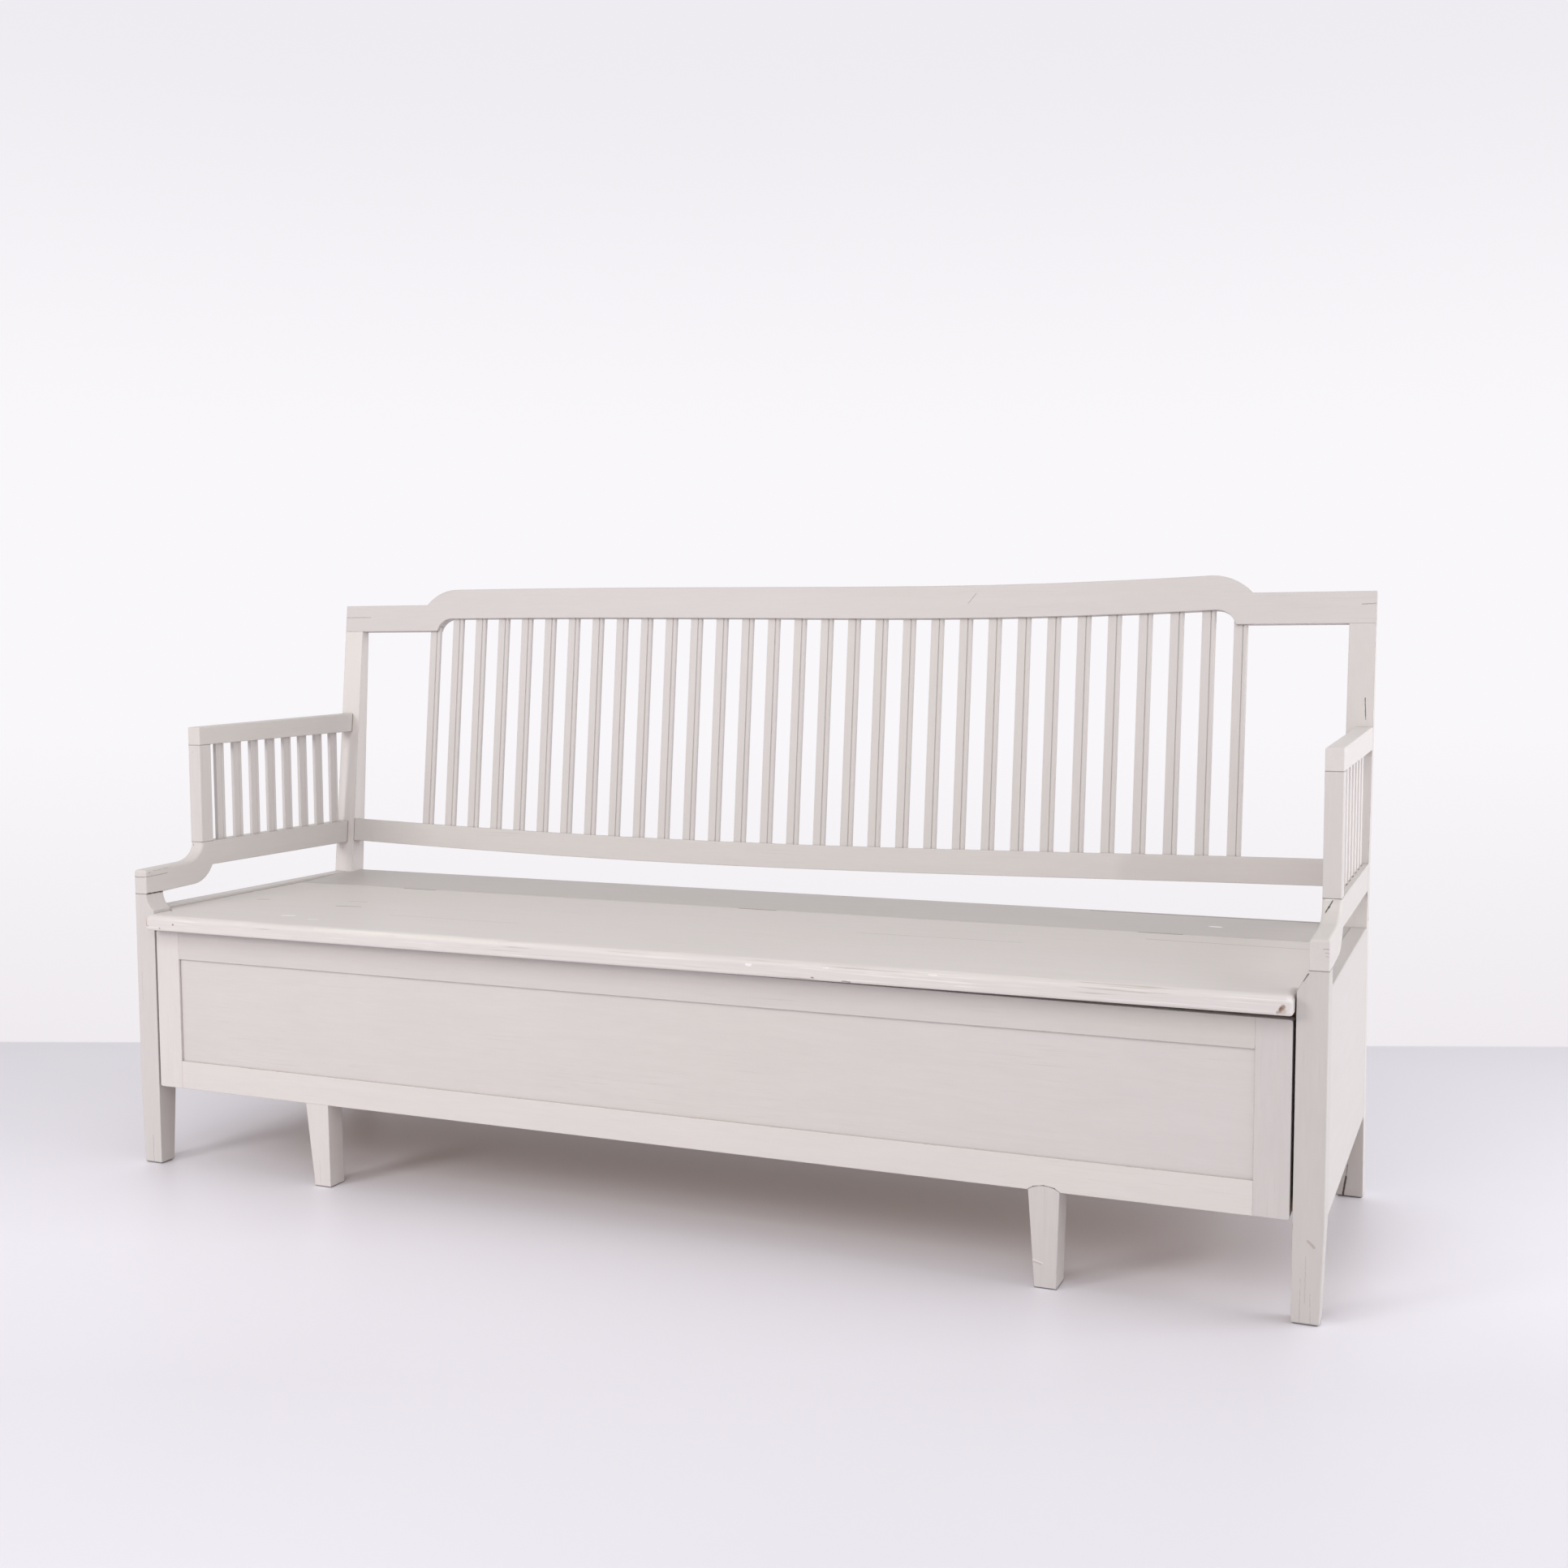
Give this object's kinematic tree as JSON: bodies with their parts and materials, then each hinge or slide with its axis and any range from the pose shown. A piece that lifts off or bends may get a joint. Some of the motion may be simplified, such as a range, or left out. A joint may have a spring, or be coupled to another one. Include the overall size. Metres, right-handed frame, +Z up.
{
  "type": "pull-out bench bed",
  "caption": "Painted wooden settle with slatted back and arms, a hinged seat lid, and a box front on legs that slides out with half of the bed bottom.",
  "frame": {"origin": "centre of the footprint's bounding box, on the floor", "axes": "+X along the bench to the sitter's left, -Y is the front, +Z up"},
  "size_m": [2, 0.6662, 1.0158],
  "materials": {
    "painted_frame": "satin",
    "painted_back": "satin",
    "painted_seat": "satin",
    "painted_front": "satin",
    "painted_leg": "satin",
    "bare_pine": "matt",
    "hinge_steel": "worn"
  },
  "bodies": {
    "frame": {"left_front_post": "painted_frame", "left_rear_post": "painted_frame", "left_end_panel": "painted_frame", "left_arm_lower_rail": "painted_frame", "left_arm_top_rail": "painted_frame", "left_arm_stile": "painted_frame", "left_arm_slats": "painted_frame", "left_runner": "bare_pine", "left_side_guide": "bare_pine", "left_seat_bearer": "bare_pine", "right_front_post": "painted_frame", "right_rear_post": "painted_frame", "right_end_panel": "painted_frame", "right_arm_lower_rail": "painted_frame", "right_arm_top_rail": "painted_frame", "right_arm_stile": "painted_frame", "right_arm_slats": "painted_frame", "right_runner": "bare_pine", "right_side_guide": "bare_pine", "right_seat_bearer": "bare_pine", "crest_rail": "painted_back", "lower_back_rail": "painted_back", "back_slats": "painted_back", "upper_rear_rail": "painted_frame", "lower_rear_rail": "painted_frame", "back_panel": "painted_frame", "seat_strip": "painted_seat", "rear_slat_ledger": "bare_pine", "fixed_bed_slats": "bare_pine", "strip_hinge_leaves": "hinge_steel", "hinge_pins": "hinge_steel", "strip_hinge_screws": "hinge_steel"},
    "lid": {"seat_lid": "painted_seat", "lid_battens": "bare_pine", "lid_batten_screws": "hinge_steel", "lid_hinge_leaves": "hinge_steel", "lid_hinge_screws": "hinge_steel"},
    "box": {"front_top_rail": "painted_front", "front_bottom_rail": "painted_front", "left_front_stile": "painted_front", "right_front_stile": "painted_front", "front_field_panel": "painted_front", "left_box_leg": "painted_leg", "right_box_leg": "painted_leg", "box_leg_screws": "hinge_steel", "left_box_side": "bare_pine", "right_box_side": "bare_pine", "box_front_ledger": "bare_pine", "box_rear_crossbar": "bare_pine", "box_bed_slats": "bare_pine", "left_stop_cleat": "bare_pine", "right_stop_cleat": "bare_pine"}
  },
  "joints": [
    {"name": "lid_hinge", "type": "hinge", "parent": "frame", "child": "lid", "pos_m": [0, 0.11182, 0.4425], "axis": [-1, 0, 0], "range_deg": [0, 113]},
    {"name": "box_slide", "type": "slide", "parent": "frame", "child": "box", "axis": [0, -1, 0], "range_m": [0, 0.469]}
  ]
}
